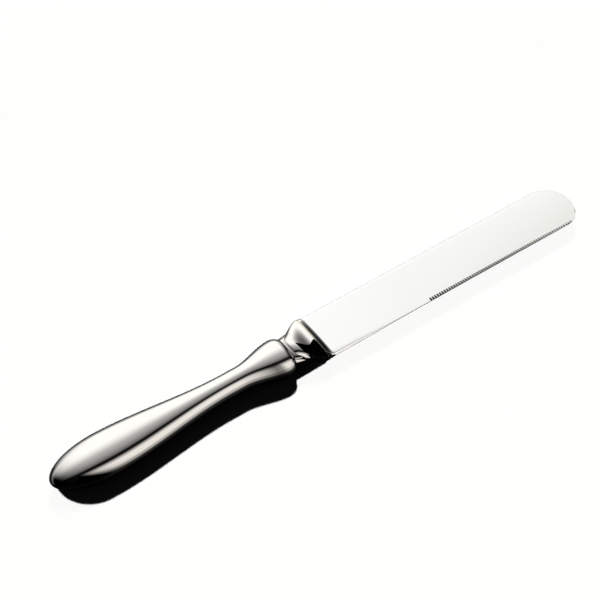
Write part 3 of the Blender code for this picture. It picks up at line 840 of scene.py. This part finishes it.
# %% Solder ring in the joint
SOLDER_INSET, SOLDER_DEPTH, SOLDER_CLEAR = 0.04, 0.6, 0.01
outer = rounded_box(LIP[0] / 2 - SOLDER_INSET, LIP[1] / 2 - SOLDER_INSET, LIP_POWER, HANDLE_SIDES)
inner = rounded_box(LIP[0] / 2 - SOLDER_DEPTH, LIP[1] / 2 - SOLDER_DEPTH, LIP_POWER, HANDLE_SIDES)
solder = start_bar("lip_solder", HANDLE_SIDES, lip_at + SOLDER_CLEAR, outer, "NOTHING")
draw_to(solder, seat_at - SOLDER_CLEAR, outer)
draw_to(solder, seat_at - SOLDER_CLEAR, inner)
draw_to(solder, lip_at + SOLDER_CLEAR, inner)
bpy.ops.mesh.select_all(action="DESELECT")  # so that end_bar does not cap the ring's hole
end_bar(solder, SMOOTH_ANGLE)
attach(solder, "root")
print("solder ring:", len(solder.data.polygons), "faces")

# %% [markdown]
# ## Mirror-polished handle steel
# Stainless steel that is buffed on soft wheels with ever finer paste. The eye sees a clean mirror, slightly
# warm and a little darker than silver, with faint lengthwise haze from the wheel. Real buffing lines are a few
# hundredths of a millimetre apart, too fine to show, so they are drawn ten times as coarse.

# %% Handle material
BUFF_LINE, BUFF_RUN, CLOUD = 0.4, 9.0, 18.0
handle_steel, tree = empty_material("stainless_mirror_polished")
spot = add(tree, "ShaderNodeTexCoord", {}).outputs["Object"]
lines = add(tree, "ShaderNodeMapping", {"Vector": spot, "Scale": (1 / (BUFF_RUN * MM), 1 / (BUFF_LINE * MM),
                                                                 1 / (BUFF_LINE * MM))})
buffed = add(tree, "ShaderNodeTexNoise", {"Vector": lines.outputs[0], "Scale": 1.0, "Detail": 3.0})
haze = add(tree, "ShaderNodeMapRange", {"Value": buffed.outputs["Fac"], "From Min": 0.3, "From Max": 0.7,
                                        "To Min": 0.035, "To Max": 0.065})
cloud = add(tree, "ShaderNodeTexNoise", {"Vector": spot, "Scale": 1 / (CLOUD * MM), "Detail": 2.0})
tint = add(tree, "ShaderNodeMix", {"Factor": cloud.outputs["Fac"], "A": linear("#D4D2CD"),
                                   "B": linear("#D9D7D3")}, data_type="RGBA")
steel = add(tree, "ShaderNodeBsdfPrincipled", {"Base Color": tint.outputs["Result"], "Metallic": 1.0,
                                               "Roughness": haze.outputs[0]})
add(tree, "ShaderNodeOutputMaterial", {"Surface": steel.outputs[0]})
handle.data.materials.append(handle_steel)
print("handle finish:", handle_steel.name)

# %% [markdown]
# ## Polished blade steel
# Blade steel is harder, and its faces are ground across the blade before they are polished, so the mirror is a
# little softer than the handle's. The grinding lines run from spine to edge. They too are drawn coarser than
# the real ones, which are about 0.03 mm apart. Towards the tip and the edge the colour is darkened slightly:
# a painted shade that stands in for the dimmer light the face mirrors there.

# %% Blade material
GRIND_LINE, GRIND_RUN, TIP_SHADE_FROM = 0.25, 6.0, 165.0
blade_steel, tree = empty_material("blade_steel_ground_and_polished")
spot = add(tree, "ShaderNodeTexCoord", {}).outputs["Object"]
lines = add(tree, "ShaderNodeMapping", {"Vector": spot, "Scale": (1 / (GRIND_LINE * MM), 1 / (GRIND_RUN * MM),
                                                                 1 / (GRIND_RUN * MM))})
ground = add(tree, "ShaderNodeTexNoise", {"Vector": lines.outputs[0], "Scale": 1.0, "Detail": 3.0})
haze = add(tree, "ShaderNodeMapRange", {"Value": ground.outputs["Fac"], "From Min": 0.3, "From Max": 0.7,
                                        "To Min": 0.08, "To Max": 0.13})
bright = add(tree, "ShaderNodeMix", {"Factor": ground.outputs["Fac"], "A": linear("#DCDCDA"),
                                     "B": linear("#E1E1DF")}, data_type="RGBA")
part = add(tree, "ShaderNodeSeparateXYZ", {"Vector": spot})
# Painted shade: the colour darkens slightly towards the tip and towards the edge, for the dimmer light the face
# mirrors there.
to_tip = add(tree, "ShaderNodeMapRange", {"Value": part.outputs["X"], "From Min": place(TIP_SHADE_FROM, 0, 0).x,
                                          "From Max": place(tip_at, 0, 0).x})
to_edge = add(tree, "ShaderNodeMapRange", {"Value": part.outputs["Y"], "From Min": BLADE_WIDTH / 2 * MM,
                                           "From Max": -BLADE_WIDTH / 2 * MM})
tip_painted_shade = add(tree, "ShaderNodeMath", {0: to_tip.outputs[0], 1: to_edge.outputs[0]}, operation="MULTIPLY")
tint = add(tree, "ShaderNodeMix", {"Factor": tip_painted_shade.outputs[0], "A": bright.outputs["Result"],
                                   "B": linear("#D3D2CD")}, data_type="RGBA")
steel = add(tree, "ShaderNodeBsdfPrincipled", {"Base Color": tint.outputs["Result"], "Metallic": 1.0,
                                               "Roughness": haze.outputs[0]})
add(tree, "ShaderNodeOutputMaterial", {"Surface": steel.outputs[0]})
blade.data.materials.append(blade_steel)
print("blade finish:", blade_steel.name)

# %% [markdown]
# ## Ground tooth steel, painted dark
# The grooves of the teeth are left as the wheel cut them: matt and scored along the cut. Their near-black
# colour is painted shade, standing in for the dark surroundings that the groove faces mirror, and that is what
# makes the teeth read as a row of dark marks on the bright face. The groove faces are the ones near the edge
# that lean to the butt, to the tip or out to the edge. The score lines are drawn coarser than a wheel leaves
# them, so that they show.

# %% Tooth material
SCORE_LINE, GROOVE_LEAN = 0.12, 0.1
groove_painted_shade, tree = empty_material("blade_steel_wheel_ground_painted_dark")
spot = add(tree, "ShaderNodeTexCoord", {}).outputs["Object"]
scored = add(tree, "ShaderNodeTexNoise", {"Vector": spot, "Scale": 1 / (SCORE_LINE * MM), "Detail": 2.0})
# Painted shade: a near-black colour for the groove faces, standing in for the dark surroundings they mirror.
tint = add(tree, "ShaderNodeMix", {"Factor": scored.outputs["Fac"], "A": linear("#0C0B0A"),
                                   "B": linear("#181715")}, data_type="RGBA")
steel = add(tree, "ShaderNodeBsdfPrincipled", {"Base Color": tint.outputs["Result"], "Metallic": 1.0,
                                               "Roughness": 0.4})
add(tree, "ShaderNodeOutputMaterial", {"Surface": steel.outputs[0]})
blade.data.materials.append(groove_painted_shade)
grooves = 0
for face in blade.data.polygons:
    ahead = (face.center.x - butt_x) / MM
    leans = max(abs(face.normal.x), -face.normal.y) > GROOVE_LEAN and face.normal.z > GROOVE_LEAN
    in_row = first_tooth - TOOTH_PITCH / 2 < ahead < first_tooth + (TOOTH_COUNT - 0.5) * TOOTH_PITCH
    if leans and in_row and face.center.y / MM < blade_edge(ahead) + TOOTH_REACH:
        face.material_index = 1
        grooves += 1
print("groove faces:", grooves)

# %% [markdown]
# ## Solder and cement
# Silver solder that has run and set has a pale yellow sheen with a fine ripple. The cement inside the handle
# is a matt, sandy casting. Both sit almost wholly inside the knife, but they are part of it, so they get their
# own finish on the model's own pieces.

# %% Solder and cement materials
RIPPLE, SAND, SAND_RELIEF = 0.8, 0.6, 0.1
solder_metal, tree = empty_material("silver_solder_as_melted")
spot = add(tree, "ShaderNodeTexCoord", {}).outputs["Object"]
ripple = add(tree, "ShaderNodeTexNoise", {"Vector": spot, "Scale": 1 / (RIPPLE * MM), "Detail": 3.0})
haze = add(tree, "ShaderNodeMapRange", {"Value": ripple.outputs["Fac"], "To Min": 0.2, "To Max": 0.45})
tint = add(tree, "ShaderNodeMix", {"Factor": ripple.outputs["Fac"], "A": linear("#A8A078"),
                                   "B": linear("#BDB690")}, data_type="RGBA")
metal = add(tree, "ShaderNodeBsdfPrincipled", {"Base Color": tint.outputs["Result"], "Metallic": 1.0,
                                               "Roughness": haze.outputs[0]})
add(tree, "ShaderNodeOutputMaterial", {"Surface": metal.outputs[0]})
solder.data.materials.append(solder_metal)

cement, tree = empty_material("handle_cement_cast")
spot = add(tree, "ShaderNodeTexCoord", {}).outputs["Object"]
sand = add(tree, "ShaderNodeTexNoise", {"Vector": spot, "Scale": 1 / (SAND * MM), "Detail": 4.0})
tint = add(tree, "ShaderNodeMix", {"Factor": sand.outputs["Fac"], "A": linear("#B5AC9E"),
                                   "B": linear("#CFC8BB")}, data_type="RGBA")
grains = add(tree, "ShaderNodeBump", {"Height": sand.outputs["Fac"], "Strength": 0.3,
                                      "Distance": SAND_RELIEF * MM})
body = add(tree, "ShaderNodeBsdfPrincipled", {"Base Color": tint.outputs["Result"], "Roughness": 0.85,
                                              "Normal": grains.outputs[0]})
add(tree, "ShaderNodeOutputMaterial", {"Surface": body.outputs[0]})
for name, material in (("seam_braze", solder_metal), ("handle_filler", cement)):
    node_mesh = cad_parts[name].data
    node_mesh.materials.clear()
    node_mesh.materials.append(material)
print("finishes on the model's own pieces: seam_braze, handle_filler")
